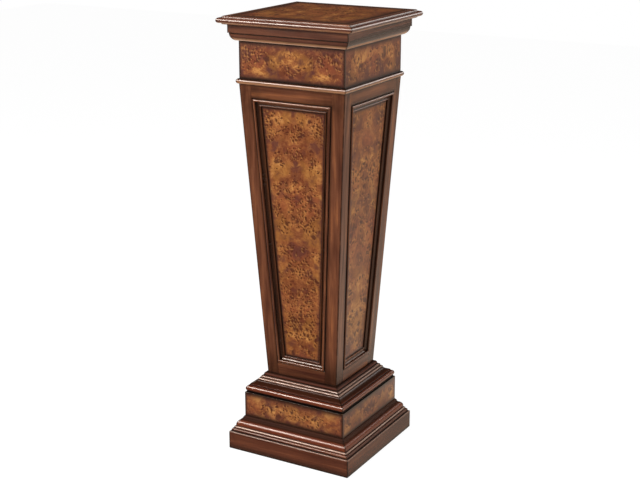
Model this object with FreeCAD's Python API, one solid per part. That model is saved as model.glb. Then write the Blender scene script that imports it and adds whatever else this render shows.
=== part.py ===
import FreeCAD
import Part
import math
import os

from FreeCAD import Vector

# Torchere stand: a tapered square pedestal of mahogany frames and burl-veneered panels.
# Millimetres. The origin is on the floor under the middle of the base, +Z is up, -Y is the front.

# Heights of the stages and of their members, from the floor up
skirting_height = 46.0
base_bead_height = 8.0
base_step_height = 4.8
base_ovolo_height = 14.7
base_cove_height = 4.5
base_fillet_height = 6.0
plinth_face_height = 62.0
quirk_height = 4.0
cap_torus_height = 13.5
cap_fillet_height = 3.0
cap_cove_height = 8.0
cap_lower_bead_height = 5.5
cap_upper_bead_height = 5.5
cap_crown_height = 9.0
trunk_height = 717.0
astragal_height = 12.0
frieze_height = 87.0
cornice_ovolo_height = 16.5
cornice_fillet_height = 1.5
fascia_height = 19.5
top_hollow_height = 3.3
top_nose_height = 11.9
top_lip_height = 3.8

# Widths across the faces
plinth_width = 275.0
trunk_foot_width = 192.3
trunk_head_width = 277.5
frieze_width = 275.0
top_width = 350.0

# How far each member of the base moulding and the skirting stand out from the plinth's face
skirting_projection = 29.5
base_bead_projection = 25.0
base_step_projection = 20.7
base_ovolo_projection = 16.7
base_fillet_projection = 4.3
base_top_projection = 0.4

# How far the lower members of the cap moulding stand back from the plinth's face
cap_torus_inset = 4.0
cap_torus_setback = 3.0
cap_fillet_inset = 9.0

# How far its upper members stand out from the trunk's foot
cap_cove_projection = 19.0
cap_lower_bead_projection = 17.8
cap_upper_bead_projection = 13.1
cap_crown_projection = 7.4

# How far the astragal stands out from the trunk's head, and the cornice from the frieze
astragal_projection = 5.0
astragal_fillet = 1.0
cornice_soffit = 5.8
cornice_ovolo_projection = 15.8
fascia_projection = 18.5

# The top's moulded edge, measured in from its nose
top_edge_width = 23.0
top_hollow_inset = 10.5
top_nose_inset = 4.3
top_hollow_width = 3.8
top_lip_inset = 10.0

# Rounded edges: how far a round reaches in and how far it reaches down
skirting_toe_round = 3.0
skirting_edge_round = 1.5
base_bead_round = (3.5, 4.5)
base_step_round = (2.7, 3.3)
base_ovolo_round = (6.7, 12.0)
cap_bead_round = (3.1, 3.2)
cap_crown_round = (5.4, 7.0)
top_lip_round = (2.5, 3.0)
trunk_corner_round = 2.0

# Bends of the arcs: the rise over half the chord, with a hollow below zero
torus_bend = 0.58
half_round_bend = 1.0
top_hollow_bend = -0.35
shallow_hollow_bend = -0.25
fillet_bend = 0.2

# Frames and panels of the trunk
frame_thickness = 20.0
stile_width = 32.0
rail_width = 31.0
tenon_length = 12.0
tenon_thickness = 7.0
tenon_shoulder = 8.0
groove_depth = 6.0
panel_recess = 7.0
panel_core_thickness = 9.0

# Panel moulding, from the frame towards the panel
crease_width = 1.6
crease_depth = 2.2
bead_diameter = 6.4
bead_rise = 3.0
hollow_width = 7.0
hollow_depth = 2.6
inner_bead_diameter = 4.0
inner_bead_depth = 3.8
lip_width = 1.0
lip_depth = 6.3

# Boards, cores and veneers
veneer = 0.8
carcase_thickness = 18.0
neck_frame_ledge = 32.0
quirk_inset = 3.5
tongue_length = 8.0
tongue_thickness = 6.0

# Blocks, cleats and screws
frieze_block_length = 60.0
frieze_block_height = 45.0
foot_block_length = 30.0
foot_block_height = 60.0
screw_edge_distance = 14.0
cleat_depth = 28.0
cleat_height = 35.0
cleat_screw_spacing = 140.0
screw_length = 50.0
screw_diameter = 4.5
screw_head_diameter = 9.0
screw_head_height = 3.0
screw_point_length = 5.0

# Levelling feet, M8 studs in threaded inserts
leveller_block_size = 48.0
leveller_block_height = 45.0
pad_diameter = 32.0
pad_height = 8.0
pad_edge_round = 1.0
pad_floor = 2.5
pad_lip = 1.8
stud_diameter = 8.0
stud_foot_diameter = 13.0
stud_height = 48.0
stud_hex_across_flats = 13.0
stud_hex_height = 5.0
insert_diameter = 12.0
insert_length = 20.0
hex_pocket_diameter = 18.0
stud_clearance_bore = 10.0

# Clearances
fit = 0.15
end_gap = 0.5
running_fit = 0.08
moving_gap = 0.3

# Heights from the floor to the top of each stage
base_moulding_height = (base_bead_height + base_step_height + base_ovolo_height
                        + base_cove_height + base_fillet_height)
cap_moulding_height = (cap_torus_height + cap_fillet_height + cap_cove_height
                       + cap_lower_bead_height + cap_upper_bead_height + cap_crown_height)
cornice_height = cornice_ovolo_height + cornice_fillet_height + fascia_height
top_thickness = top_hollow_height + top_nose_height + top_lip_height
base_moulding_top = skirting_height + base_moulding_height
plinth_top = base_moulding_top + plinth_face_height
deck_top = plinth_top + quirk_height
cap_top = deck_top + cap_moulding_height
trunk_top = cap_top + trunk_height
astragal_top = trunk_top + astragal_height
frieze_top = astragal_top + frieze_height
cornice_top = frieze_top + cornice_height
stand_top = cornice_top + top_thickness

# Half widths, from the stand's axis to a face
plinth_half = plinth_width / 2
plinth_board_face = plinth_half - veneer
plinth_inside = plinth_board_face - carcase_thickness
skirting_half = plinth_half + skirting_projection
deck_half = plinth_half - quirk_inset
foot_half = trunk_foot_width / 2
head_half = trunk_head_width / 2
astragal_half = head_half + astragal_projection
frieze_half = frieze_width / 2
frieze_board_face = frieze_half - veneer
frieze_inside = frieze_board_face - carcase_thickness
top_half = top_width / 2
top_core_half = top_half - top_edge_width

# Taper of the trunk: sideways run per unit of height, and per unit along a face
slope = (head_half - foot_half) / trunk_height
slant = math.hypot(1, slope)
taper = slope / slant
wall_run = frame_thickness * slant
overrun = frame_thickness

panel_moulding_width = (crease_width + bead_diameter + hollow_width
                        + inner_bead_diameter + lip_width)
opening_low = rail_width
opening_high = trunk_height * slant - rail_width

SIDES = ("front", "right", "back", "left")
UP = Vector(0, 0, 1)
ORIGIN = Vector(0, 0, 0)


# Shapes

def trunk_half(height):
    """From the stand's axis to a face of the trunk at a height."""
    return foot_half + slope * (height - cap_top)


def arc_bend(reach_in, reach_down):
    """The bend of an arc that leaves its longer side without a corner."""
    return math.tan(math.atan2(min(reach_in, reach_down), max(reach_in, reach_down)) / 2)


def nose_bend(rise, chord):
    """The bend of an arc that rises so far from its chord."""
    return 2 * rise / chord


def outline(points, place):
    """A closed face through (a, b) points, where a third number bends the stretch up to that point."""
    edges = []
    for start, end in zip(points[-1:] + points[:-1], points):
        bend = end[2] if len(end) > 2 else 0
        first = place(start[0], start[1])
        last = place(end[0], end[1])
        if bend == 0:
            edges.append(Part.LineSegment(first, last).toShape())
            continue
        along = end[0] - start[0]
        rise = end[1] - start[1]
        middle = place((start[0] + end[0] + rise * bend) / 2, (start[1] + end[1] - along * bend) / 2)
        edges.append(Part.Arc(first, middle, last).toShape())
    return Part.Face(Part.Wire(edges))


def rounded_step(distance, top, reach):
    """The two points of a step's outer face with its upper edge rounded."""
    reach_in, reach_down = reach
    return [(distance, top - reach_down), (distance - reach_in, top, arc_bend(reach_in, reach_down))]


def long_run(points, length):
    """A moulding's section, as (distance towards -Y, height), run along X and centred."""
    section = outline(points, lambda distance, height: Vector(-length / 2, -distance, height))
    return section.extrude(Vector(length, 0, 0))


def plate(points, low, high):
    """A flat plate with its (x, y) outline, between two heights."""
    return outline(points, lambda x, y: Vector(x, y, low)).extrude(Vector(0, 0, high - low))


def square_slab(half, low, high):
    return plate([(-half, -half), (half, -half), (half, half), (-half, half)], low, high)


def mitre_wedge(reach, low, high):
    """The front quarter of the plan, between the two diagonals."""
    return plate([(0, 0), (-reach, -reach), (reach, -reach)], low, high)


def ring_side(points):
    """The front side of a mitred square ring, from its section as (distance from the axis, height)."""
    reach = max(point[0] for point in points) + overrun
    low = min(point[1] for point in points) - overrun
    high = max(point[1] for point in points) + overrun
    return long_run(points, 2 * reach).common(mitre_wedge(reach, low, high))


def board_section(inside, outside, low, high):
    return [(inside, low), (outside, low), (outside, high), (inside, high)]


def frustum(low, high, low_half, high_half):
    """A square block whose four faces lean."""
    reach = max(low_half, high_half)
    profile = [(-low_half, low), (low_half, low), (high_half, high), (-high_half, high)]
    slab = outline(profile, lambda x, z: Vector(x, -reach, z)).extrude(Vector(0, 2 * reach, 0))
    return slab.common(turned(slab, 90))


def cylinder(diameter, low, high, x=0, y=0):
    return Part.makeCylinder(diameter / 2, high - low, Vector(x, y, low))


def turned(shape, angle):
    copy = shape.copy()
    copy.rotate(ORIGIN, UP, angle)
    return copy


def four_sides(shape):
    return [turned(shape, 90 * quarter) for quarter in range(4)]


def cut_all(shape, cutters):
    for cutter in cutters:
        shape = shape.cut(cutter)
    return shape


def save(node, shapes):
    solids = [solid for shape in shapes for solid in shape.Solids]
    body = solids[0] if len(solids) == 1 else Part.makeCompound(solids)
    body.exportStep("parts/%s.step" % node)


def save_sides(stem, shapes):
    """One node on each side of the stand, from the shapes on the front."""
    for quarter, side in enumerate(SIDES):
        save("%s_%s" % (stem, side), [turned(shape, 90 * quarter) for shape in shapes])


# Fasteners

def screw(x, y, head_level, grow=0):
    """A countersunk wood screw pointing up, or with a growth the hole that it needs."""
    head = screw_head_diameter / 2 + grow
    shank = screw_diameter / 2 + grow
    tip = screw_length + grow
    profile = [(0, -grow), (head, -grow), (shank, screw_head_height),
               (shank, screw_length - screw_point_length), (0, tip)]
    body = outline(profile, lambda radius, height: Vector(radius, 0, height)).revolve(ORIGIN, UP, 360)
    body.translate(Vector(x, y, head_level))
    return body


def screw_places():
    """Where the screw heads are: under the cleats, the trunk's head board and the plinth's top board."""
    cleat_middle = frieze_inside - cleat_depth / 2
    places = [(side * cleat_screw_spacing / 2, end * cleat_middle, cornice_top - cleat_height)
              for side in (-1, 1) for end in (-1, 1)]
    for x, y in ((0, -1), (1, 0), (0, 1), (-1, 0)):
        places.append((x * neck_screw_offset, y * neck_screw_offset, trunk_top - carcase_thickness))
        places.append((x * foot_screw_offset, y * foot_screw_offset, deck_top - carcase_thickness))
    return places


neck_inside = min(frieze_inside, trunk_half(trunk_top - carcase_thickness) - wall_run)
neck_screw_offset = neck_inside - screw_edge_distance
foot_screw_offset = trunk_half(deck_top) - wall_run - screw_edge_distance
SCREW_HOLES = [screw(x, y, level, fit) for x, y, level in screw_places()]


def near_holes(shape):
    """The screw holes that reach into a shape."""
    box = shape.BoundBox
    return [hole for hole in SCREW_HOLES if box.intersect(hole.BoundBox)]


def drilled(shape):
    return cut_all(shape, near_holes(shape))


# Base

def make_skirting():
    section = [(plinth_board_face, 0), (skirting_half - skirting_toe_round, 0),
               (skirting_half, skirting_toe_round, arc_bend(1, 1)),
               (skirting_half, skirting_height - skirting_edge_round),
               (skirting_half - skirting_edge_round, skirting_height, arc_bend(1, 1)),
               (plinth_board_face, skirting_height)]
    save_sides("skirting", [ring_side(section)])


def make_base_moulding():
    bead_top = skirting_height + base_bead_height
    step_top = bead_top + base_step_height
    ovolo_top = step_top + base_ovolo_height
    cove_top = ovolo_top + base_cove_height
    section = [(plinth_board_face, skirting_height), (plinth_half + base_bead_projection, skirting_height)]
    section += rounded_step(plinth_half + base_bead_projection, bead_top, base_bead_round)
    section += [(plinth_half + base_step_projection, bead_top)]
    section += rounded_step(plinth_half + base_step_projection, step_top, base_step_round)
    section += [(plinth_half + base_ovolo_projection, step_top)]
    section += rounded_step(plinth_half + base_ovolo_projection, ovolo_top, base_ovolo_round)
    section += [(plinth_half + base_fillet_projection, cove_top, shallow_hollow_bend),
                (plinth_half + base_top_projection, base_moulding_top, fillet_bend),
                (plinth_board_face, base_moulding_top)]
    save_sides("base_moulding", [ring_side(section)])


def make_plinth():
    board = ring_side(board_section(plinth_inside, plinth_board_face, 0, plinth_top))
    face = ring_side(board_section(plinth_board_face, plinth_half, base_moulding_top, plinth_top))
    save("plinth_boards", four_sides(board))
    save("plinth_veneers", four_sides(face))
    deck = square_slab(deck_half, plinth_top, deck_top)
    deck = deck.fuse(square_slab(plinth_inside - fit, deck_top - carcase_thickness, plinth_top))
    save("plinth_top_board", [drilled(deck.removeSplitter())])


def make_cap_moulding():
    torus_top = deck_top + cap_torus_height
    fillet_top = torus_top + cap_fillet_height
    cove_top = fillet_top + cap_cove_height
    lower_top = cove_top + cap_lower_bead_height
    upper_top = lower_top + cap_upper_bead_height
    torus = plinth_half - cap_torus_inset
    fillet = plinth_half - cap_fillet_inset
    section = [(trunk_half(deck_top) + fit, deck_top), (torus, deck_top),
               (torus - cap_torus_setback, torus_top, torus_bend),
               (fillet, torus_top), (fillet, fillet_top),
               (foot_half + cap_cove_projection, cove_top, shallow_hollow_bend),
               (foot_half + cap_lower_bead_projection, cove_top)]
    section += rounded_step(foot_half + cap_lower_bead_projection, lower_top, cap_bead_round)
    section += [(foot_half + cap_upper_bead_projection, lower_top)]
    section += rounded_step(foot_half + cap_upper_bead_projection, upper_top, cap_bead_round)
    section += [(foot_half + cap_crown_projection, upper_top)]
    section += rounded_step(foot_half + cap_crown_projection, cap_top, cap_crown_round)
    section += [(foot_half + fit, cap_top)]
    save_sides("cap_moulding", [ring_side(section)])


# Trunk: each face is built flat, as (across, up, out), and then leant on the front

def edge_across(up, inset):
    """How far a line parallel to the trunk's corner lies from the face's middle."""
    return foot_half + up * taper - inset * math.hypot(1, taper)


def tapered(inset, low, high):
    """A face-wide outline whose sides keep an even distance from the trunk's corners."""
    return [(-edge_across(low, inset), low), (edge_across(low, inset), low),
            (edge_across(high, inset), high), (-edge_across(high, inset), high)]


def leant(shape):
    """Carries a shape from the flat face to the front of the trunk."""
    axes = FreeCAD.Matrix(1, 0, 0, 0,
                          0, -taper, -1 / slant, -foot_half,
                          0, 1 / slant, -taper, cap_top,
                          0, 0, 0, 1)
    copy = shape.copy()
    copy.Placement = FreeCAD.Placement(axes).multiply(copy.Placement)
    return copy


def trunk_envelope():
    """The trunk's outside, with its four corners rounded."""
    block = frustum(deck_top, trunk_top, trunk_half(deck_top), trunk_half(trunk_top))
    corners = [edge for edge in block.Edges if edge.BoundBox.ZLength > trunk_height / 2]
    return block.makeFillet(trunk_corner_round, corners)


def panel_slab(edge_gap, face_gap):
    """A panel's core, or with no edge gap the groove that takes it."""
    front = -(panel_recess + veneer)
    inset = stile_width - groove_depth + edge_gap
    low = opening_low - groove_depth + edge_gap
    high = opening_high + groove_depth - edge_gap
    return plate(tapered(inset, low, high), front - panel_core_thickness - face_gap, front + face_gap)


def rail_tenons(low, high, length, grow):
    """The tenons at both ends of a rail as one long tongue, or grown, the mortises that take them."""
    middle = -frame_thickness / 2
    half = tenon_thickness / 2 + grow
    tongue = tapered(stile_width - length - grow, low - grow, high + grow)
    return plate(tongue, middle - half, middle + half)


def make_trunk_frames():
    lowest = (deck_top - cap_top) * slant - overrun
    highest = trunk_height * slant + overrun
    tenon_spans = [((deck_top - cap_top) * slant + tenon_shoulder, opening_low - tenon_shoulder),
                   (opening_high + tenon_shoulder, trunk_height * slant - tenon_shoulder)]
    groove = panel_slab(0, fit)
    stile = plate([(edge_across(lowest, stile_width), lowest), (edge_across(lowest, -overrun), lowest),
                   (edge_across(highest, -overrun), highest), (edge_across(highest, stile_width), highest)],
                  -frame_thickness, overrun)
    mortises = [rail_tenons(low, high, tenon_length, fit) for low, high in tenon_spans]
    stile = cut_all(stile, mortises + [groove])
    stiles = [stile, stile.mirror(ORIGIN, Vector(1, 0, 0))]
    rails = []
    for rail_span, tenon_span in zip(((lowest, opening_low), (opening_high, highest)), tenon_spans):
        rail = plate(tapered(stile_width, *rail_span), -frame_thickness, overrun)
        rail = rail.fuse(rail_tenons(*tenon_span, tenon_length, 0)).removeSplitter()
        rails.append(rail.cut(groove))
    wedge = mitre_wedge(head_half + overrun, deck_top - overrun, trunk_top + overrun)
    quarter = trunk_envelope().common(wedge)
    save_sides("trunk_stiles", [leant(piece).common(quarter) for piece in stiles])
    save_sides("trunk_rails", [leant(piece).common(quarter) for piece in rails])


def make_panels():
    save("panel_cores", four_sides(leant(panel_slab(end_gap, 0))))
    face = plate(tapered(stile_width + fit, opening_low + fit, opening_high - fit),
                 -(panel_recess + veneer), -panel_recess)
    save_sides("panel_veneer", [leant(face)])


def panel_moulding_section():
    """From the frame's edge towards the panel, with heights from the frame's face."""
    bead_end = crease_width + bead_diameter
    inner_start = bead_end + hollow_width
    inner_end = inner_start + inner_bead_diameter
    bead_middle = bead_rise - bead_diameter / 2
    inner_middle = -inner_bead_depth - inner_bead_diameter / 2
    return [(fit, -panel_recess), (panel_moulding_width, -panel_recess),
            (panel_moulding_width, -lip_depth), (inner_end, -lip_depth),
            (inner_end, inner_middle), (inner_start, inner_middle, half_round_bend),
            (bead_end, -hollow_depth, shallow_hollow_bend),
            (bead_end, bead_middle), (crease_width, bead_middle, half_round_bend),
            (crease_width, -crease_depth), (fit, -crease_depth)]


def make_panel_mouldings():
    """Four strips round each opening, mitred where they meet."""
    corners = [Vector(across, up, 0) for across, up in tapered(stile_width, opening_low, opening_high)]
    strips = []
    for index, start in enumerate(corners):
        end = corners[(index + 1) % 4]
        along = (end - start).normalize()
        before = (start - corners[index - 1]).normalize()
        after = (corners[(index + 2) % 4] - end).normalize()
        inward = UP.cross(along)
        section_axes = FreeCAD.Matrix(-along.x, -inward.x, 0, (start.x + end.x) / 2,
                                      -along.y, -inward.y, 0, (start.y + end.y) / 2,
                                      0, 0, 1, 0,
                                      0, 0, 0, 1)
        strip = long_run(panel_moulding_section(), (end - start).Length + 2 * overrun)
        strip.Placement = FreeCAD.Placement(section_axes)
        first_mitre = mitre_line(before, along)
        last_mitre = mitre_line(along, after)
        reach = panel_moulding_width + overrun
        corner_points = [start - first_mitre * overrun, end - last_mitre * overrun,
                         end + last_mitre * reach, start + first_mitre * reach]
        wedge = plate([(point.x, point.y) for point in corner_points], -overrun, overrun)
        strips.append(leant(strip.common(wedge)))
    save_sides("panel_moulding", strips)


def mitre_line(before, after):
    """The way a mitre runs inwards where two edges meet, per unit of distance from the edges."""
    inward = UP.cross(before) + UP.cross(after)
    return inward * (1 / inward.dot(UP.cross(after)))


def trunk_inside(low, high, gap):
    """A block that fills the trunk between two heights."""
    return frustum(low, high, trunk_half(low) - wall_run - gap, trunk_half(high) - wall_run - gap)


def make_head_board():
    board = trunk_inside(trunk_top - carcase_thickness, trunk_top, fit)
    save("trunk_head_board", [drilled(board)])


def make_astragal():
    inside = neck_inside - neck_frame_ledge
    edge = head_half + astragal_fillet
    section = [(inside, trunk_top), (edge, trunk_top),
               (edge, astragal_top, nose_bend(astragal_half - edge, astragal_height)),
               (inside, astragal_top)]
    save_sides("astragal", [drilled(ring_side(section))])


# Head

def make_frieze():
    board = ring_side(board_section(frieze_inside, frieze_board_face, astragal_top, cornice_top))
    face = ring_side(board_section(frieze_board_face, frieze_half, astragal_top, frieze_top))
    save("frieze_boards", four_sides(board))
    save("frieze_veneers", four_sides(face))


def make_cornice():
    ovolo_top = frieze_top + cornice_ovolo_height
    fascia_foot = ovolo_top + cornice_fillet_height
    ovolo = frieze_half + cornice_ovolo_projection
    fascia = frieze_half + fascia_projection
    ovolo_bend = arc_bend(cornice_ovolo_projection - cornice_soffit, cornice_ovolo_height)
    section = [(frieze_board_face, frieze_top), (frieze_half + cornice_soffit, frieze_top),
               (ovolo, ovolo_top, ovolo_bend), (ovolo, fascia_foot),
               (fascia, fascia_foot), (fascia, cornice_top), (frieze_board_face, cornice_top)]
    save_sides("cornice", [ring_side(section)])


def tongue_slab(reach, grow):
    """The tongue round the top's core, or grown, the groove that takes it."""
    middle = cornice_top + top_thickness / 2
    return square_slab(top_core_half + reach, middle - tongue_thickness / 2 - grow,
                       middle + tongue_thickness / 2 + grow)


def make_top():
    core = square_slab(top_core_half, cornice_top, stand_top - veneer)
    core = core.fuse(tongue_slab(tongue_length, 0)).removeSplitter()
    save("top_core", [drilled(core)])
    save("top_veneer", [square_slab(top_core_half, stand_top - veneer, stand_top)])
    hollow_top = cornice_top + top_hollow_height
    nose_top = hollow_top + top_nose_height
    section = [(top_core_half, cornice_top),
               (top_half - top_hollow_inset, cornice_top),
               (top_half - top_hollow_inset + top_hollow_width, hollow_top, top_hollow_bend),
               (top_half - top_nose_inset, hollow_top),
               (top_half - top_nose_inset, nose_top, nose_bend(top_nose_inset, top_nose_height)),
               (top_half - top_lip_inset, nose_top)]
    section += rounded_step(top_half - top_lip_inset, stand_top, top_lip_round)
    section += [(top_core_half, stand_top)]
    edge = ring_side(section).cut(tongue_slab(tongue_length + end_gap, fit))
    save_sides("top_edge", [edge])


# Hidden blocks and fasteners

def side_block(length, near, far, low, high):
    """A block on the front side, between two distances from the stand's axis."""
    half = length / 2
    return plate([(-half, -far), (half, -far), (half, -near), (-half, -near)], low, high)


def make_glue_blocks():
    frieze_block = side_block(frieze_block_length, neck_screw_offset - screw_edge_distance, frieze_inside,
                              astragal_top, astragal_top + frieze_block_height)
    foot_block = side_block(foot_block_length, foot_screw_offset - screw_edge_distance, foot_half,
                            deck_top, deck_top + foot_block_height)
    foot_block = foot_block.common(trunk_inside(deck_top, deck_top + foot_block_height, fit))
    cleat = side_block(2 * frieze_inside, frieze_inside - cleat_depth, frieze_inside,
                       cornice_top - cleat_height, cornice_top)
    blocks = four_sides(frieze_block) + four_sides(foot_block) + [cleat, turned(cleat, 180)]
    save("glue_blocks", [drilled(block) for block in blocks] + four_sides(leveller_block()))


def make_screws():
    save("wood_screws", [screw(x, y, level) for x, y, level in screw_places()])


# Levelling feet: the block, insert, pad and stud in the front right corner, then in the others

leveller_offset = plinth_inside - leveller_block_size / 2
block_foot = pad_height + moving_gap
pocket_top = block_foot + stud_hex_height + moving_gap
insert_top = pocket_top + insert_length


def leveller_block():
    half = leveller_block_size / 2
    block_top = block_foot + leveller_block_height
    block = square_slab(half, block_foot, block_top)
    block = cut_all(block, [cylinder(hex_pocket_diameter, block_foot, pocket_top),
                            cylinder(insert_diameter, pocket_top, insert_top),
                            cylinder(stud_clearance_bore, insert_top, block_top)])
    return in_corner(block)


def in_corner(shape):
    copy = shape.copy()
    copy.translate(Vector(leveller_offset, -leveller_offset, 0))
    return copy


def make_levellers():
    insert = cylinder(insert_diameter, pocket_top, insert_top)
    insert = insert.cut(cylinder(stud_diameter + 2 * running_fit, pocket_top, insert_top))
    save("leveller_inserts", four_sides(in_corner(insert)))

    cavity_top = pad_height - pad_lip
    pad = cylinder(pad_diameter, 0, pad_height)
    pad = pad.makeFillet(pad_edge_round, [edge for edge in pad.Edges if edge.Closed])
    pad = cut_all(pad, [cylinder(stud_foot_diameter + 2 * moving_gap, pad_floor, cavity_top),
                        cylinder(stud_diameter + 2 * moving_gap, pad_floor, pad_height)])
    hexagon = [(stud_hex_across_flats / math.sqrt(3) * math.cos(math.radians(60 * corner)),
                stud_hex_across_flats / math.sqrt(3) * math.sin(math.radians(60 * corner)))
               for corner in range(6)]
    stud = cylinder(stud_diameter, pad_floor + moving_gap, stud_height)
    stud = stud.fuse(cylinder(stud_foot_diameter, pad_floor + moving_gap, cavity_top - moving_gap))
    stud = stud.fuse(plate(hexagon, block_foot, block_foot + stud_hex_height)).removeSplitter()
    for quarter in range(4):
        save("leveller_pad_%d" % (quarter + 1), [turned(in_corner(pad), 90 * quarter)])
        save("leveller_stud_%d" % (quarter + 1), [turned(in_corner(stud), 90 * quarter)])


os.makedirs("parts", exist_ok=True)
make_skirting()
make_base_moulding()
make_plinth()
make_cap_moulding()
make_trunk_frames()
make_panels()
make_panel_mouldings()
make_head_board()
make_astragal()
make_frieze()
make_cornice()
make_top()
make_glue_blocks()
make_screws()
make_levellers()
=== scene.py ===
import math

import bpy
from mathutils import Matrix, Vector


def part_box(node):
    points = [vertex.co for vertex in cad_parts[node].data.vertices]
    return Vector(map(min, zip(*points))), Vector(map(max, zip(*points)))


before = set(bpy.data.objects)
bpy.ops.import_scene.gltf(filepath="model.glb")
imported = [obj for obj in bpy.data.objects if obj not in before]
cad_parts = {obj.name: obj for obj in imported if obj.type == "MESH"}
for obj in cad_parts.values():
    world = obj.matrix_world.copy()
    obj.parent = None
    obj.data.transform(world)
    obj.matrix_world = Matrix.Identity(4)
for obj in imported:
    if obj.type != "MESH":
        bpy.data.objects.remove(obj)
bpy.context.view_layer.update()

# Metres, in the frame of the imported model: the floor is z = 0 and -Y is the front.

# Camera
EYE = Vector((1.4998, -2.6275, 1.4338))
LOOK_AT = Vector((-0.0016, -0.0032, 0.5217))
LENS = 73.55
SENSOR_WIDTH = 36.0

# The trunk's faces lean out from its foot to its head
FOOT_LEVEL = 0.1945
FOOT_HALF = 0.09615
HEAD_LEVEL = 0.9115
HEAD_HALF = 0.13875
TRUNK_SLOPE = (HEAD_HALF - FOOT_HALF) / (HEAD_LEVEL - FOOT_LEVEL)
STILE_WIDTH = 0.032
PANEL_MOULDING_WIDTH = 0.020
# The plinth, and the level where the trunk's foot mouldings take over from it
PLINTH_HALF = 0.1375
DECK_LEVEL = 0.15
# The step between the cornice's ovolo and its fascia, above the cornice's foot
CORNICE_STEP = 0.0172
# The nose's lower edge, above the foot of the top's edge
NOSE_FOOT = 0.0033

# Bands of the foot mouldings, as low and high levels, how much glaze they hold and how dull they are
BASE_BEAD_BAND = (0.046, 0.054, 0.0, 0.4)
BASE_OVOLO_BAND = (0.060, 0.074, 0.0, 0.35)
CAP_FILLET_BAND = (0.162, 0.1675, 0.2, 0.8)
CAP_COVE_BAND = (0.1665, 0.1745, 0.75, 0.9)
CAP_CROWN_BAND = (0.1870, 0.1950, 0.4, 0.7)
FOOT_BANDS = (BASE_BEAD_BAND, BASE_OVOLO_BAND, CAP_FILLET_BAND, CAP_COVE_BAND, CAP_CROWN_BAND)
# Bands of the foot mouldings where a red reflection is painted, as low and high levels and how red they are
REDDENED_REFLECTION_BANDS = ((0.0590, 0.0730, 0.35), (0.1500, 0.1680, 0.3), (0.1865, 0.1915, 0.4))
BAND_SOFTNESS = 0.0015
# Painted highlights along edges of the foot mouldings, as levels and how pale they are
PAINTED_HIGHLIGHT_LINES = ((0.0452, 0.35), (0.0574, 0.6), (0.1788, 0.45), (0.1842, 0.3))

# Lacquer, the glaze in hollows with painted shade spread round them, and the easing of edges
GLOSS = 0.5
TRUNK_GLOSS = 0.28
LACQUER_IOR = 1.5
NARROW_HOLLOW = 0.007
PAINTED_SHADE_REACH = 0.025
EDGE_RADIUS = 0.001
# How open to its surroundings a hollow's rim is, where the glaze and the painted shade start
HOLLOW_RIM = 0.92
# How much glaze adds to the roughness, and how much of it lies against a wall
GLAZE_ROUGHNESS = 0.3
WALL_GLAZE = 0.7
# Roughness between its smoothest and its roughest, and the noise values that these go with
MAHOGANY_ROUGHNESS = (0.2, 0.265)
BURL_ROUGHNESS = (0.285, 0.34)
CARCASE_ROUGHNESS = (0.55, 0.7)
ZINC_ROUGHNESS = (0.29, 0.42)
BRASS_ROUGHNESS = (0.29, 0.38)
NYLON_ROUGHNESS = (0.45, 0.6)
NOISE_LOW = 0.3
NOISE_HIGH = 0.75
NARROW_NOISE_HIGH = 0.7

# Mahogany: how many times a metre each of its noises repeats, how far the grain is drawn out along
# its length, and the shares of the noises in its tone
GRAIN_STRETCH = 0.04
GRAIN_BANDS = 60.0
GRAIN_STREAKS = 260.0
GRAIN_PORES = 1500.0
TONE_DRIFT = 9.0
HIGHLIGHT_BREAKUP = 26.0
JOINT_MOTTLE = 30.0
HANDLING = 38.0
BAND_SHARE = 0.75
STREAK_SHARE = 0.25
DRIFT_SHARE = 0.2
# Where its four tones stand in the blend of noises
GRAIN_STOPS = (0.42, 0.55, 0.66, 0.8)
# The noise values between which pores turn dark, and how dark
PORE_SPAN = (0.62, 0.72)
PORE_DARKNESS = 0.3
# Glaze on the inner part of a panel moulding's upright and level strips
UPRIGHT_STRIP_GLAZE = 0.5
LEVEL_STRIP_GLAZE = 0.1

# Burl: how many times a metre each of its noises and marks repeats, and the shares of the noises in its tone
BURL_STRAY = 22.0
BURL_CURL = 75.0
BURL_CLOUD = 27.0
BURL_FIGURE = 75.0
BURL_FIBRE = 210.0
BURL_DRIFT = 15.0
BURL_BLUSH = 28.0
BURL_CLUSTER = 24.0
BURL_POLISH = 30.0
KNOT_DENSITY = 46.0
EYE_DENSITY = 112.0
PIN_DENSITY = 190.0
CLOUD_SHARE = 0.38
FIGURE_SHARE = 0.32
FIBRE_SHARE = 0.3
# The noise values between which the burl turns olive, russet and plum, and where its marks gather
OLIVE_SPAN = (0.54, 0.66)
RUSSET_SPAN = (0.46, 0.34)
PLUM_SPAN = (0.5, 0.68)
CLUSTER_SPAN = (0.41, 0.58)
# How strong the burl's tints, marks and painted highlights are
DRIFT_STRENGTH = 0.45
PLUM_STRENGTH = 0.75
KNOT_STRENGTH = 0.85
EYE_HIGHLIGHT_STRENGTH = 0.5
PIN_STRENGTH = 0.85
SPOT_STRENGTH = 0.92
# What is added to a mark's random size, and the share of its reach that is its full core
MARK_SIZE_LOW = 0.5
MARK_CORE = 0.4
# How far the burl's figure wanders, and its marks with it
STRAY_REACH = 0.03
CURL_REACH = 0.012
MARK_CURL_REACH = 0.004
# How far the painted highlight beside each eye is from it, along and up the leaf
EYE_HIGHLIGHT_SHIFT = (0.0022, 0.0022, 0.0)
# Where the leaves of veneer lie in the noises, and the scale of places on the side faces, where the
# figure is larger
FRONT_LEAF = 1.3
SIDE_LEAF = 3.1
TOP_LEAF = 1.7
SIDE_COARSENESS = 0.7
# How many times narrower a band's dark border is at its upright edges and its foot than at its head; on the
# frieze the wide border at the head is painted shade under the cornice
BORDER_PULL_SIDES = 1.6
BORDER_PULL_FOOT = 1.2

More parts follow.
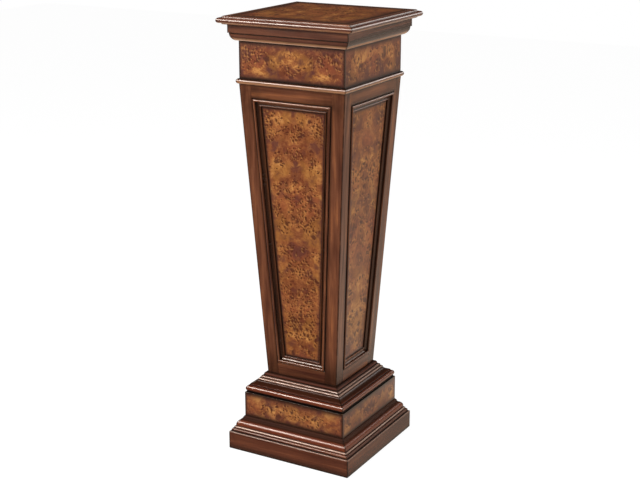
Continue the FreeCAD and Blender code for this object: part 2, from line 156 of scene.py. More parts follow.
# Hidden wood, metal and nylon: how their noises are drawn out, and how many times a metre they repeat
CARCASE_STRETCH = (0.05, 1.0, 1.0)
CARCASE_BANDS = 120.0
METAL_STRETCH = (1.0, 1.0, 0.15)
METAL_BRUSHING = 900.0
METAL_CLOUDS = 160.0
NYLON_GRAIN = 1400.0
NYLON_CLOUDS = 120.0


def colour(red, green, blue):
    """A linear colour from 8-bit display values."""
    linear = []
    for value in (red, green, blue):
        share = value / 255
        linear.append(share / 12.92 if share <= 0.04045 else ((share + 0.055) / 1.055) ** 2.4)
    return (*linear, 1.0)


# Wood and glaze tones, with the tones of painted shade, painted highlights and a painted reflection
FRAME_TONES = (colour(66, 32, 21), colour(91, 51, 33), colour(108, 63, 41), colour(143, 84, 49))
MOULDING_TONES = (colour(68, 32, 20), colour(82, 41, 26), colour(94, 49, 31), colour(118, 66, 41))
EDGE_TONES = (colour(66, 36, 27), colour(88, 50, 37), colour(108, 64, 47), colour(146, 92, 64))
CORNICE_TONES = (colour(50, 28, 21), colour(69, 39, 29), colour(89, 51, 37), colour(116, 70, 48))
PAINTED_HIGHLIGHT = colour(196, 142, 100)
PALE_PAINTED_HIGHLIGHT = colour(204, 170, 150)
REDDENED_REFLECTION = colour(138, 60, 33)
BURL_UMBER = colour(102, 50, 27)
BURL_BROWN = colour(127, 70, 36)
BURL_AMBER = colour(148, 88, 45)
BURL_GOLD = colour(190, 130, 68)
BURL_STOPS = ((0.38, BURL_UMBER), (0.46, BURL_BROWN), (0.53, BURL_AMBER), (0.64, BURL_GOLD))
BURL_OLIVE = colour(150, 98, 40)
BURL_RUSSET = colour(142, 72, 42)
BURL_PLUM = colour(88, 45, 37)
BURL_KNOT = colour(70, 32, 23)
BURL_EYE = colour(72, 28, 13)
CARCASE_STOPS = ((0.3, colour(150, 112, 74)), (0.5, colour(186, 146, 100)), (0.7, colour(206, 170, 124)))
DARK_GLAZE_AND_SHADOW = colour(9, 4, 2)
EDGE_GLAZE_AND_SHADE = colour(36, 18, 9)
# Tints of reflections: in lacquer, in glazed hollows and of the room
LACQUER_TINT = (1.0, 0.85, 0.74, 1.0)
HOLLOW_TINT = (0.12, 0.09, 0.08, 1.0)
ROOM_TINT = (1.0, 0.87, 0.72, 1.0)
WHITE = (1.0, 1.0, 1.0, 1.0)
FLOOR_GREY = (0.86, 0.86, 0.86, 1.0)

# Studio: the room's level on surfaces and its span in reflections, from the left to the right
ROOM_LEVEL = 0.24
ROOM_REFLECTED_LEFT = 0.05
ROOM_REFLECTED_RIGHT = 0.45
FLOOR_REACH = 7.0
# How much of the floor's white is its own light, and how strong that is
FLOOR_WHITE_SHARE = 0.82
FLOOR_WHITE = 1.15
STAND_MIDDLE = (0.0, 0.0, 0.5)


class Shader:
    """A node tree, where each method adds nodes and gives the output of the last."""

    def __init__(self, tree):
        self.tree = tree
        tree.nodes.clear()

    def node(self, kind, inputs, **settings):
        made = self.tree.nodes.new("ShaderNode" + kind)
        for key, value in settings.items():
            setattr(made, key, value)
        for key, value in inputs.items():
            if isinstance(value, bpy.types.NodeSocket):
                self.tree.links.new(value, made.inputs[key])
            else:
                made.inputs[key].default_value = value
        return made

    def coordinates(self, kind="Object"):
        return self.node("TexCoord", {}).outputs[kind]

    def split(self, vector):
        return self.node("SeparateXYZ", {0: vector}).outputs

    def join(self, x, y, z):
        return self.node("CombineXYZ", {0: x, 1: y, 2: z}).outputs[0]

    def math(self, operation, *values):
        return self.node("Math", dict(enumerate(values)), operation=operation).outputs[0]

    def minus(self, first, second):
        return self.math("SUBTRACT", first, second)

    def times(self, first, second):
        return self.math("MULTIPLY", first, second)

    def absolute(self, value):
        return self.math("ABSOLUTE", value)

    def gap(self, first, second):
        return self.absolute(self.minus(first, second))

    def least(self, first, second):
        return self.math("MINIMUM", first, second)

    def most(self, first, second):
        return self.math("MAXIMUM", first, second)

    def vector(self, operation, *values):
        return self.node("VectorMath", dict(enumerate(values)), operation=operation).outputs[0]

    def scaled(self, vector, factor):
        return self.node("VectorMath", {0: vector, "Scale": factor}, operation="SCALE").outputs[0]

    def stretched(self, vector, scale):
        return self.node("Mapping", {0: vector, "Scale": scale}).outputs[0]

    def noise(self, vector, scale, detail=2.0, roughness=0.5, distortion=0.0, kind="Fac"):
        return self.node("TexNoise", {"Vector": vector, "Scale": scale, "Detail": detail,
                                      "Roughness": roughness, "Distortion": distortion}).outputs[kind]

    def wander(self, vector, scale):
        """A noise that shifts places either way along each axis."""
        return self.vector("SUBTRACT", self.noise(vector, scale, kind="Color"), (0.5, 0.5, 0.5))

    def cells(self, vector, scale):
        made = self.node("TexVoronoi", {"Vector": vector, "Scale": scale}, voronoi_dimensions="2D")
        return made.outputs["Distance"], made.outputs["Color"]

    def spread(self, value, first, last, start=0.0, end=1.0):
        """A smooth step from start to end while a value goes from first to last."""
        return self.node("MapRange", {0: value, 1: first, 2: last, 3: start, 4: end},
                         interpolation_type="SMOOTHSTEP").outputs[0]

    def polish(self, noise, roughness, noise_high=NOISE_HIGH):
        """A roughness between two, by a noise."""
        smoothest, roughest = roughness
        return self.spread(noise, NOISE_LOW, noise_high, smoothest, roughest)

    def near(self, distance, reach, full=0.0, share=1.0):
        """A share that fades in while a distance comes down from a reach to where it is full."""
        return self.spread(distance, reach, full, end=share)

    def ramp(self, value, *stops):
        made = self.node("ValToRGB", {0: value})
        band = made.color_ramp
        while len(band.elements) < len(stops):
            band.elements.new(1.0)
        for element, (place, tone) in zip(band.elements, stops):
            element.position = place
            element.color = tone
        return made.outputs[0]

    def mix(self, share, first, second):
        """A colour between two."""
        return self.node("Mix", {0: share, 6: first, 7: second}, data_type="RGBA").outputs[2]

    def choose(self, share, first, second):
        """A number between two."""
        return self.node("Mix", {0: share, 2: first, 3: second}, data_type="FLOAT").outputs[0]

    def occlusion(self, distance):
        return self.node("AmbientOcclusion", {"Distance": distance}, samples=8).outputs["AO"]

    def eased(self):
        """The normal with sharp edges taken off."""
        return self.node("Bevel", {"Radius": EDGE_RADIUS}, samples=4).outputs[0]

    def bump(self, height, strength, distance, normal=None):
        inputs = {"Strength": strength, "Distance": distance, "Height": height}
        if normal is not None:
            inputs["Normal"] = normal
        return self.node("Bump", inputs).outputs[0]

    def blend(self, share, first, second):
        """A surface between two."""
        return self.node("MixShader", {0: share, 1: first, 2: second}).outputs[0]

    def surface(self, shader):
        self.node("OutputMaterial", {0: shader})

    def coat(self, inputs):
        """The finished surface of wood, metal or nylon."""
        self.surface(self.node("BsdfPrincipled", inputs).outputs[0])


def new_material(name):
    made = bpy.data.materials.new(name)
    made.use_nodes = True
    return made, Shader(made.node_tree)


# Places on the stand

def across_face(shader, place):
    """How far a place is from the upright middle line of its face."""
    x, y, _ = shader.split(place)
    return shader.least(shader.absolute(x), shader.absolute(y))


def out_from_axis(shader, place):
    """How far a place is from the stand's axis, square to its face."""
    x, y, _ = shader.split(place)
    return shader.most(shader.absolute(x), shader.absolute(y))


def rise_above(shader, place, level):
    """How far a place is above a level."""
    return shader.minus(shader.split(place)[2], level)


def trunk_half(shader, level, inset=0.0):
    """From the stand's axis to a face of the trunk at a level, less an inset."""
    return shader.math("MULTIPLY_ADD", level, TRUNK_SLOPE, FOOT_HALF - FOOT_LEVEL * TRUNK_SLOPE - inset)


def opening_distances(shader, place):
    """How far a place on a trunk face is inside the panel's opening, from its sides and from its ends."""
    z = shader.split(place)[2]
    sides = shader.minus(trunk_half(shader, z, STILE_WIDTH), across_face(shader, place))
    low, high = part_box("panel_veneer_front")
    ends = shader.least(shader.minus(z, low.z), shader.minus(high.z, z))
    return sides, ends


# Lacquered mahogany

def lacquer(shader, base, roughness, hollow, normal, gloss):
    """Satin lacquer over a stained surface, duller where glaze fills the hollows."""
    tint = shader.mix(hollow, LACQUER_TINT, HOLLOW_TINT)
    shader.coat({"Base Color": base, "Roughness": roughness, "Normal": normal, "IOR": LACQUER_IOR,
                 "Specular IOR Level": gloss, "Specular Tint": tint})


def crevice_glaze_and_shade(shader, base, depth=1.0):
    """Dark glaze rubbed into the narrow hollows with painted shade spread wider round them, and how much
    glaze there is.
    """
    open_near = shader.occlusion(NARROW_HOLLOW)
    close = shader.near(open_near, reach=HOLLOW_RIM, full=0.62, share=0.95 * depth)
    # Painted shade: a wider, softer darkening round the hollows
    wide = shader.near(shader.occlusion(PAINTED_SHADE_REACH), reach=HOLLOW_RIM, full=0.5, share=0.85 * depth)
    toned = shader.mix(close, shader.mix(wide, base, EDGE_GLAZE_AND_SHADE), DARK_GLAZE_AND_SHADOW)
    return toned, shader.near(open_near, reach=0.8, full=0.5, share=0.95 * depth)


def mahogany_tone(shader, place, along, tones):
    """Colour and height of mahogany whose grain runs along one axis."""
    stretch = [1.0, 1.0, 1.0]
    stretch["xyz".index(along)] = GRAIN_STRETCH
    grain = shader.stretched(place, stretch)
    bands = shader.noise(grain, GRAIN_BANDS, distortion=0.5)
    streaks = shader.noise(grain, GRAIN_STREAKS, detail=4.0, roughness=0.65, distortion=0.2)
    pores = shader.noise(grain, GRAIN_PORES)
    drift = shader.noise(place, TONE_DRIFT)
    blend = shader.math("MULTIPLY_ADD", streaks, STREAK_SHARE, shader.times(bands, BAND_SHARE))
    blend = shader.math("MULTIPLY_ADD", drift, DRIFT_SHARE, blend)
    base = shader.ramp(blend, *zip(GRAIN_STOPS, tones))
    dark_pores = shader.spread(pores, *PORE_SPAN)
    base = shader.mix(shader.times(dark_pores, PORE_DARKNESS), base, tones[0])
    return base, shader.minus(streaks, dark_pores)


def start_mahogany(name, along, tones):
    made, shader = new_material(name)
    place = shader.coordinates()
    base, height = mahogany_tone(shader, place, along, tones)
    return made, shader, place, base, height


def finish_mahogany(shader, place, base, height, sheltered=0.0, faded=0.0, glaze_depth=1.0, gloss=GLOSS):
    """Glaze at the corners and in the hollows with painted shade round the hollows, and lacquer: rougher
    where sheltered, duller where faded.
    """
    handled = shader.noise(place, HANDLING, detail=3.0)
    x, y, _ = shader.split(place)
    corner = shader.near(shader.gap(shader.absolute(x), shader.absolute(y)), reach=0.0045, full=0.0005)
    corner = shader.times(corner, shader.spread(handled, 0.3, 0.6, start=0.35, end=0.8))
    base = shader.mix(corner, base, EDGE_GLAZE_AND_SHADE)
    base, glaze = crevice_glaze_and_shade(shader, base, glaze_depth)
    glaze = shader.most(glaze, sheltered)
    roughness = shader.polish(handled, MAHOGANY_ROUGHNESS)
    roughness = shader.math("MULTIPLY_ADD", glaze, GLAZE_ROUGHNESS, roughness)
    normal = shader.bump(height, strength=0.04, distance=0.0004, normal=shader.eased())
    lacquer(shader, base, roughness, shader.most(glaze, faded), normal, gloss)


def cornice_mahogany(name, along):
    """Mahogany of the cornice, with a painted highlight along its lower edge and glazed in the step over the
    ovolo.
    """
    made, shader, place, base, height = start_mahogany(name, along, CORNICE_TONES)
    rise = rise_above(shader, place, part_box("cornice_front")[0].z)
    step = shader.gap(rise, CORNICE_STEP)
    base = shader.mix(shader.near(step, reach=0.0028, full=0.001, share=0.85), base, EDGE_GLAZE_AND_SHADE)
    # Painted highlight: a lit band along the ovolo's lower edge, broken up by noise and palest at the very
    # edge
    highlight_breakup = shader.spread(shader.noise(place, HIGHLIGHT_BREAKUP), 0.3, 0.6, start=0.8)
    painted_highlight_share = shader.times(shader.near(rise, reach=0.009, full=0.001, share=0.8), highlight_breakup)
    base = shader.mix(painted_highlight_share, base, PAINTED_HIGHLIGHT)
    base = shader.mix(shader.near(rise, reach=0.003, full=0.001, share=0.6), base, PALE_PAINTED_HIGHLIGHT)
    finish_mahogany(shader, place, base, height, glaze_depth=0.4)
    return made


def edge_mahogany(name, along):
    """Mahogany of the top's edge, with a painted highlight along the nose's lower edge."""
    made, shader, place, base, height = start_mahogany(name, along, EDGE_TONES)
    rise = rise_above(shader, place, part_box("top_edge_front")[0].z + NOSE_FOOT)
    # Painted highlight along the nose's lower edge
    base = shader.mix(shader.near(shader.absolute(rise), reach=0.003, share=0.7), base, PAINTED_HIGHLIGHT)
    finish_mahogany(shader, place, base, height, glaze_depth=0.25)
    return made


def trunk_mahogany(name, along):
    """Mahogany of the trunk's frames.

    Glaze and painted shade darken it round the openings and under the astragal, glaze stains it at the upper
    joints, and painted shade darkens it along the trunk's foot.
    """
    made, shader, place, base, height = start_mahogany(name, along, FRAME_TONES)
    sides, ends = opening_distances(shader, place)
    under = shader.minus(HEAD_LEVEL, shader.split(place)[2])
    # Glaze and painted shade: darker round the openings and under the astragal
    border = shader.least(shader.absolute(shader.least(sides, ends)), shader.absolute(under))
    base = shader.mix(shader.near(border, reach=0.007, share=0.6), base, EDGE_GLAZE_AND_SHADE)
    joint = shader.math("SQRT", shader.math("ADD", shader.times(sides, sides), shader.times(ends, ends)))
    mottle = shader.spread(shader.noise(place, JOINT_MOTTLE), 0.35, 0.65, start=0.4)
    mottle = shader.times(mottle, shader.near(under, reach=0.3, full=0.1))
    stained = shader.times(shader.near(joint, reach=0.08, full=0.01, share=0.5), mottle)
    base = shader.mix(stained, base, EDGE_GLAZE_AND_SHADE)
    rise = rise_above(shader, place, FOOT_LEVEL)
    # Painted shade along the trunk's foot: the stiles, with their grain upright, are shaded higher up than
    # the rails
    if along == "z":
        shaded = shader.near(rise, reach=0.09, full=0.01, share=0.62)
    else:
        shaded = shader.near(rise, reach=0.022, full=0.004, share=0.2)
    base = shader.mix(shaded, base, EDGE_GLAZE_AND_SHADE)
    faded = shader.near(rise, reach=0.08, full=0.01, share=0.6)
    finish_mahogany(shader, place, base, height, faded=faded, glaze_depth=0.35, gloss=TRUNK_GLOSS)
    return made


def astragal_mahogany(name, along):
    """Mahogany of the astragal, with a painted highlight on its lower part, and glazed where the frieze
    stands on it.
    """
    made, shader, place, base, height = start_mahogany(name, along, FRAME_TONES)
    low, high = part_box("astragal_front")
    tall = high.z - low.z
    rise = rise_above(shader, place, low.z)
    # Painted highlight: the astragal's lower part is lighter
    base = shader.mix(shader.near(rise, reach=0.6 * tall, full=0.3 * tall, share=0.45), base, PAINTED_HIGHLIGHT)
    upper = shader.spread(rise, 0.72 * tall, 0.9 * tall, end=0.85)
    base = shader.mix(upper, base, EDGE_GLAZE_AND_SHADE)
    finish_mahogany(shader, place, base, height, faded=upper)
    return made


def deck_mahogany():
    """Mahogany of the plinth's deck, blackened round the edge that shows as a quirk, with glaze and painted
    shadow under the torus.
    """
    made, shader, place, base, height = start_mahogany("mahogany_deck", "x", MOULDING_TONES)
    behind = shader.minus(PLINTH_HALF, out_from_axis(shader, place))
    # Glaze and painted shadow: the deck's edge, under the cap's torus, is made black
    quirk_glaze_and_shadow = shader.near(behind, reach=0.012, full=0.006)
    base = shader.mix(quirk_glaze_and_shadow, base, DARK_GLAZE_AND_SHADOW)
    finish_mahogany(shader, place, base, height, sheltered=quirk_glaze_and_shadow)
    return made


def band_share(shader, level, low, high, share):
    """A share between two levels that fades out at both."""
    away = shader.gap(level, (low + high) / 2)
    reach = (high - low) / 2
    return shader.near(away, reach + BAND_SOFTNESS, reach - BAND_SOFTNESS, share)


def foot_mahogany(name, along):
    """Mahogany of the mouldings round the plinth's foot and the trunk's, glazed dark against their wall,
    with painted highlights along edges and a painted red reflection on some rounds.
    """
    made, shader, place, base, height = start_mahogany(name, along, MOULDING_TONES)
    z = shader.split(place)[2]
    wall = shader.choose(shader.math("GREATER_THAN", z, DECK_LEVEL), PLINTH_HALF, trunk_half(shader, z))
    shelter = shader.near(shader.minus(out_from_axis(shader, place), wall), reach=0.014, full=0.005)
    base = shader.mix(shader.times(shelter, WALL_GLAZE), base, EDGE_GLAZE_AND_SHADE)
    # Painted reflection: a red glow across the rounds beside their highlights
    for low, high, redness in REDDENED_REFLECTION_BANDS:
        base = shader.mix(band_share(shader, z, low, high, redness), base, REDDENED_REFLECTION)
    faded = 0.0
    for low, high, darkening, dulling in FOOT_BANDS:
        base = shader.mix(band_share(shader, z, low, high, darkening), base, EDGE_GLAZE_AND_SHADE)
        faded = shader.most(faded, band_share(shader, z, low, high, dulling))
    # Painted highlights: pale lines along the edges of the steps and beads
    for level, paleness in PAINTED_HIGHLIGHT_LINES:
        painted_highlight_share = shader.near(shader.gap(z, level), reach=0.0022, full=0.0006, share=paleness)
        base = shader.mix(painted_highlight_share, base, PALE_PAINTED_HIGHLIGHT)
    finish_mahogany(shader, place, base, height, sheltered=shelter, faded=faded)
    return made


def framed_mahogany(name, across_axis):
    """Mahogany strips round an opening, with the grain along each strip."""
    made, shader, place, upright_base, upright_height = start_mahogany(name, "z", FRAME_TONES)
    level_base, level_height = mahogany_tone(shader, place, across_axis, FRAME_TONES)
    sides, ends = opening_distances(shader, place)
    level = shader.math("LESS_THAN", ends, sides)
    base = shader.mix(level, upright_base, level_base)
    height = shader.choose(level, upright_height, level_height)
    inside = shader.least(sides, ends)
    strip_glaze = shader.choose(level, UPRIGHT_STRIP_GLAZE, LEVEL_STRIP_GLAZE)
    base = shader.mix(shader.times(shader.spread(inside, 0.006, 0.009), strip_glaze), base, EDGE_GLAZE_AND_SHADE)
    faded = shader.spread(inside, 0.009, 0.013, end=0.7)
    finish_mahogany(shader, place, base, height, faded=faded, glaze_depth=0.85)
    return made


# Burl veneer

def face_places(shader, place):
    """Two places on a face's veneer, the first mirrored about the face's upright middle line.

    Each face has a leaf of its own.
    """
    x, y, z = shader.split(place)
    wide = shader.absolute(x)
    deep = shader.absolute(y)
    sideways = shader.math("GREATER_THAN", wide, deep)
    facing = shader.math("SIGN", shader.choose(sideways, y, x))
    leaf = shader.times(facing, shader.choose(sideways, FRONT_LEAF, SIDE_LEAF))
    coarseness = shader.choose(sideways, 1.0, SIDE_COARSENESS)
    across = shader.math("MULTIPLY_ADD", shader.least(wide, deep), coarseness, leaf)
    signed = shader.math("MULTIPLY_ADD", shader.choose(sideways, x, y), coarseness, leaf)
    up = shader.times(z, coarseness)
    return shader.join(across, up, leaf), shader.join(signed, up, leaf)


def top_places(shader, place):
    """Two places on the top's veneer, the first mirrored about its middle line from front to back."""
    x, y, _ = shader.split(place)
    return shader.join(shader.absolute(x), y, TOP_LEAF), shader.join(x, y, TOP_LEAF)


def panel_edge(shader, place):
    """The distance from the edges of a panel's field."""
    sides, ends = opening_distances(shader, place)
    return shader.minus(shader.least(sides, ends), PANEL_MOULDING_WIDTH)


def band_edge(node):
    """The distance from the edges of a face on a square block."""
    low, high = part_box(node)

    def distance(shader, place):
        z = shader.split(place)[2]
        sides = shader.times(shader.minus(high.x, across_face(shader, place)), BORDER_PULL_SIDES)
        foot = shader.times(shader.minus(z, low.z), BORDER_PULL_FOOT)
        return shader.least(sides, shader.least(foot, shader.minus(high.z, z)))

    return distance


def top_edge(shader, place):
    """The distance from the edges of the top's veneer."""
    return shader.minus(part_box("top_veneer")[1].x, out_from_axis(shader, place))


def eye_mask(shader, leaf, density, cluster, share, reach):
    """Small round marks gathered where the cluster mask is high."""
    distance, tint = shader.cells(leaf, density)
    chance, size, _ = shader.split(tint)
    kept = shader.math("LESS_THAN", chance, shader.times(cluster, share))
    limit = shader.times(shader.math("ADD", size, MARK_SIZE_LOW), reach)
    return shader.times(kept, shader.near(distance, reach=limit, full=shader.times(limit, MARK_CORE)))


def burl(name, places, edge_distance, leaf_depth, edge_width, edge_depth=0.6, lightness=-0.01, contrast=1.0,
         eye_share=0.75, gloss=GLOSS):
    """Burl veneer, with glazed edges where edge_distance comes down to nothing, and on the frieze painted
    shade under the cornice.
    """
    made, shader = new_material(name)
    place = shader.coordinates()
    matched, single = places(shader, place)
    stray = shader.scaled(shader.wander(place, BURL_STRAY), STRAY_REACH)
    stray = shader.vector("ADD", stray, (0.0, 0.0, leaf_depth))
    leaf = shader.vector("ADD", matched, stray)
    curl = shader.wander(leaf, BURL_CURL)
    bent = shader.vector("ADD", leaf, shader.scaled(curl, CURL_REACH))
    ruffled = shader.vector("ADD", shader.vector("ADD", single, stray), shader.scaled(curl, MARK_CURL_REACH))

    # Clouded ground
    cloud = shader.noise(leaf, BURL_CLOUD, roughness=0.55)
    figure = shader.noise(bent, BURL_FIGURE, detail=3.0, roughness=0.6)
    fibre = shader.noise(bent, BURL_FIBRE, detail=4.0, roughness=0.65, distortion=0.8)
    tone = shader.math("MULTIPLY_ADD", figure, FIGURE_SHARE, shader.times(cloud, CLOUD_SHARE))
    tone = shader.math("MULTIPLY_ADD", fibre, FIBRE_SHARE, tone)
    tone = shader.math("MULTIPLY_ADD", tone, contrast, 0.5 - 0.5 * contrast + lightness)
    base = shader.ramp(tone, *BURL_STOPS)
    drift = shader.noise(bent, BURL_DRIFT, detail=1.0)
    base = shader.mix(shader.spread(drift, *OLIVE_SPAN, end=DRIFT_STRENGTH), base, BURL_OLIVE)
    base = shader.mix(shader.spread(drift, *RUSSET_SPAN, end=DRIFT_STRENGTH), base, BURL_RUSSET)
    blush = shader.noise(bent, BURL_BLUSH, detail=4.0, roughness=0.6)
    plum = shader.spread(blush, *PLUM_SPAN, end=min(PLUM_STRENGTH * contrast, 1.0))
    base = shader.mix(plum, base, BURL_PLUM)

    # Knots, and eyes with a painted highlight beside each
    cluster = shader.spread(shader.noise(leaf, BURL_CLUSTER, detail=1.0), *CLUSTER_SPAN)
    knots = eye_mask(shader, ruffled, KNOT_DENSITY, cluster, share=0.4, reach=0.3)
    base = shader.mix(shader.times(knots, KNOT_STRENGTH), base, BURL_KNOT)
    beside = shader.vector("ADD", ruffled, EYE_HIGHLIGHT_SHIFT)
    eye_highlights = eye_mask(shader, beside, EYE_DENSITY, cluster, share=eye_share, reach=0.37)
    base = shader.mix(shader.times(eye_highlights, EYE_HIGHLIGHT_STRENGTH), base, BURL_GOLD)
    eyes = eye_mask(shader, ruffled, EYE_DENSITY, cluster, share=eye_share, reach=0.4)
    pins = eye_mask(shader, ruffled, PIN_DENSITY, cluster, share=0.7 * eye_share, reach=0.42)
    spots = shader.most(eyes, shader.times(pins, PIN_STRENGTH))
    base = shader.mix(shader.times(spots, SPOT_STRENGTH), base, BURL_EYE)

    # Dark border with a darker rim (glaze, and on the frieze painted shade under the cornice), and lacquer
    distance = edge_distance(shader, place)
    base = shader.mix(shader.near(distance, reach=edge_width, share=edge_depth), base, BURL_PLUM)
    base = shader.mix(shader.near(distance, reach=0.5 * edge_width, share=0.9), base, EDGE_GLAZE_AND_SHADE)
    base, glaze = crevice_glaze_and_shade(shader, base)
    roughness = shader.polish(shader.noise(place, BURL_POLISH, detail=3.0), BURL_ROUGHNESS)
    height = shader.minus(fibre, spots)
    normal = shader.bump(height, strength=0.08, distance=0.0004, normal=shader.eased())
    lacquer(shader, base, roughness, glaze, normal, gloss)
    return made


# Hidden wood, metal and nylon

def carcase_wood():
    made, shader = new_material("carcase_wood")
    grain = shader.stretched(shader.coordinates(), CARCASE_STRETCH)
    bands = shader.noise(grain, CARCASE_BANDS, detail=4.0, roughness=0.6, distortion=0.5)
    base, _ = crevice_glaze_and_shade(shader, shader.ramp(bands, *CARCASE_STOPS))
    roughness = shader.polish(bands, CARCASE_ROUGHNESS, NARROW_NOISE_HIGH)
    normal = shader.bump(bands, strength=0.2, distance=0.0005)
    shader.coat({"Base Color": base, "Roughness": roughness, "Normal": normal})
    return made


def metal(name, dark, light, roughness):
    made, shader = new_material(name)
    place = shader.coordinates()
    brushed = shader.noise(shader.stretched(place, METAL_STRETCH), METAL_BRUSHING, detail=3.0)
    clouded = shader.noise(place, METAL_CLOUDS, detail=3.0)
    base = shader.mix(clouded, dark, light)
    polished = shader.polish(brushed, roughness, NARROW_NOISE_HIGH)
    normal = shader.bump(brushed, strength=0.08, distance=0.0003)
    shader.coat({"Base Color": base, "Metallic": 1.0, "Roughness": polished, "Normal": normal})
    return made


def nylon():
    made, shader = new_material("nylon")
    place = shader.coordinates()
    grain = shader.noise(place, NYLON_GRAIN, detail=3.0)
    clouded = shader.noise(place, NYLON_CLOUDS)
    base = shader.mix(clouded, colour(26, 24, 23), colour(44, 41, 39))
    roughness = shader.polish(grain, NYLON_ROUGHNESS, NARROW_NOISE_HIGH)
    normal = shader.bump(grain, strength=0.15, distance=0.0003)
    shader.coat({"Base Color": base, "Roughness": roughness, "Normal": normal})
    return made


# Materials of the nodes

def by_axis(maker, name, axes="xy"):
    """A material for each way that the grain runs."""
    return {axis: maker(name + "_" + axis, axis) for axis in axes}


foot_materials = by_axis(foot_mahogany, "mahogany_foot")
trunk_materials = by_axis(trunk_mahogany, "mahogany_trunk", "xyz")
burl_panel = burl("burl_panel", face_places, panel_edge, leaf_depth=0.0, edge_width=0.012, contrast=1.15,
                  gloss=0.3)
# The frieze's wide, deep border is glaze with painted shade under the cornice
burl_frieze = burl("burl_frieze", face_places, band_edge("frieze_veneers"), leaf_depth=0.3, edge_width=0.026,
                   edge_depth=0.8, lightness=-0.05, contrast=1.95, eye_share=0.65, gloss=0.33)
burl_plinth = burl("burl_plinth", face_places, band_edge("plinth_veneers"), leaf_depth=0.7, edge_width=0.026,
                   edge_depth=0.7, lightness=0.015, contrast=1.3, eye_share=0.45)
burl_top = burl("burl_top", top_places, top_edge, leaf_depth=1.1, edge_width=0.05)
carcase = carcase_wood()
zinc = metal("zinc_steel", colour(150, 150, 146), colour(190, 188, 180), ZINC_ROUGHNESS)
brass = metal("brass_insert", colour(170, 128, 62), colour(206, 166, 92), BRASS_ROUGHNESS)

SIDE_AXES = {"front": "x", "back": "x", "right": "y", "left": "y"}
# Nodes that end in the name of their side, with the grain along it
SIDED_STEMS = {
    "skirting": foot_materials,
    "base_moulding": foot_materials,
    "cap_moulding": foot_materials,
    "trunk_rails": trunk_materials,
    "panel_moulding": by_axis(framed_mahogany, "mahogany_framing"),
    "astragal": by_axis(astragal_mahogany, "mahogany_astragal"),
    "cornice": by_axis(cornice_mahogany, "mahogany_cornice"),
    "top_edge": by_axis(edge_mahogany, "mahogany_edge"),
}
# Nodes that end in a side or a number, and look the same for each
COMMON_STEMS = {
    "trunk_stiles": trunk_materials["z"],
    "panel_veneer": burl_panel,
    "leveller_pad": nylon(),
    "leveller_stud": zinc,
}
SINGLE_NODES = {
    "frieze_veneers": burl_frieze,
    "plinth_veneers": burl_plinth,
    "top_veneer": burl_top,
    "plinth_top_board": deck_mahogany(),
    "wood_screws": zinc,
    "leveller_inserts": brass,
}


def material_of(node):
    stem, _, side = node.rpartition("_")
    if node in SINGLE_NODES:
        return SINGLE_NODES[node]
    if stem in SIDED_STEMS:
        return SIDED_STEMS[stem][SIDE_AXES[side]]
    return COMMON_STEMS.get(stem, carcase)


for node_name, node_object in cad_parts.items():
    for slot in node_object.material_slots:
        slot.material = material_of(node_name)


# Studio

scene = bpy.context.scene
scene.view_settings.view_transform = "Standard"


def make_world():
    """White for the camera, brighter on the right in reflections, and even for the rest."""
    world = bpy.data.worlds.new("studio")
    world.use_nodes = True
    scene.world = world
    shader = Shader(world.node_tree)
    rightward = shader.split(shader.coordinates("Generated"))[0]
    reflected = shader.spread(rightward, -0.2, 0.9, start=ROOM_REFLECTED_LEFT, end=ROOM_REFLECTED_RIGHT)
    path = shader.node("LightPath", {}).outputs
    seen = shader.choose(path["Is Camera Ray"], ROOM_LEVEL, 1.0)
    level = shader.choose(path["Is Glossy Ray"], seen, reflected)
    tint = shader.mix(path["Is Glossy Ray"], WHITE, ROOM_TINT)
    room = shader.node("Background", {"Color": tint, "Strength": level})
    shader.node("OutputWorld", {0: room.outputs[0]})


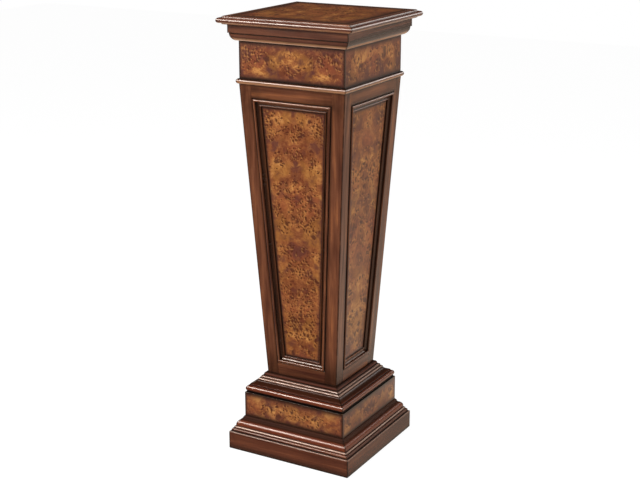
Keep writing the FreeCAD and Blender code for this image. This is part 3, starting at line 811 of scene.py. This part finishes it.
def make_floor():
    """A white floor that is warm and uneven in reflections, and clear from below."""
    mesh = bpy.data.meshes.new("floor")
    corners = [(-FLOOR_REACH, -FLOOR_REACH, 0), (FLOOR_REACH, -FLOOR_REACH, 0),
               (FLOOR_REACH, FLOOR_REACH, 0), (-FLOOR_REACH, FLOOR_REACH, 0)]
    mesh.from_pydata(corners, [], [(0, 1, 2, 3)])
    floor = bpy.data.objects.new("floor", mesh)
    scene.collection.objects.link(floor)
    made, shader = new_material("floor")
    place = shader.coordinates()
    y = shader.split(place)[1]
    # In reflections it is dim in front of the stand, dimmed close to it as a painted shadow of the stand,
    # and falls off behind
    reflected = shader.spread(y, -0.28, -0.05, start=0.1, end=0.76)
    around = shader.spread(out_from_axis(shader, place), 0.2, 0.45, start=0.6, end=1.2)
    reflected = shader.times(reflected, around)
    reflected = shader.times(reflected, shader.spread(y, 0.5, 2.2, start=1.25, end=0.82))
    lit = shader.node("BsdfDiffuse", {"Color": FLOOR_GREY}).outputs[0]
    white = shader.node("Emission", {"Color": WHITE, "Strength": FLOOR_WHITE}).outputs[0]
    warm = shader.node("Emission", {"Color": ROOM_TINT, "Strength": reflected}).outputs[0]
    path = shader.node("LightPath", {}).outputs
    seen = shader.blend(shader.times(path["Is Camera Ray"], FLOOR_WHITE_SHARE), lit, white)
    seen = shader.blend(path["Is Glossy Ray"], seen, warm)
    clear = shader.node("BsdfTransparent", {}).outputs[0]
    below = shader.node("NewGeometry", {}).outputs["Backfacing"]
    shader.surface(shader.blend(below, seen, clear))
    mesh.materials.append(made)


def make_lamp(name, place, target, size, power, spread=180, reflected=True):
    lamp = bpy.data.lights.new(name, "AREA")
    lamp.shape = "RECTANGLE"
    lamp.size, lamp.size_y = size
    lamp.energy = power
    lamp.spread = math.radians(spread)
    holder = bpy.data.objects.new(name, lamp)
    scene.collection.objects.link(holder)
    holder.location = place
    holder.rotation_euler = (Vector(target) - Vector(place)).to_track_quat("-Z", "Y").to_euler()
    holder.visible_camera = False
    holder.visible_glossy = reflected


def make_camera():
    camera = bpy.data.cameras.new("camera")
    camera.lens = LENS
    camera.sensor_width = SENSOR_WIDTH
    holder = bpy.data.objects.new("camera", camera)
    scene.collection.objects.link(holder)
    holder.location = EYE
    holder.rotation_euler = (LOOK_AT - EYE).to_track_quat("-Z", "Y").to_euler()
    scene.camera = holder


make_world()
make_floor()
make_lamp("key", (-1.9, -3.0, 2.1), STAND_MIDDLE, size=(0.7, 1.3), power=133)
make_lamp("rim", (1.8, 2.9, 1.9), (0.0, 0.0, 1.5), size=(1.4, 1.6), power=3, spread=40)
make_lamp("overhead", (0.1, -0.3, 3.0), STAND_MIDDLE, size=(1.0, 1.0), power=18, reflected=False)
make_lamp("fill", (2.6, 0.6, 1.3), STAND_MIDDLE, size=(1.6, 1.6), power=24, reflected=False)
make_camera()
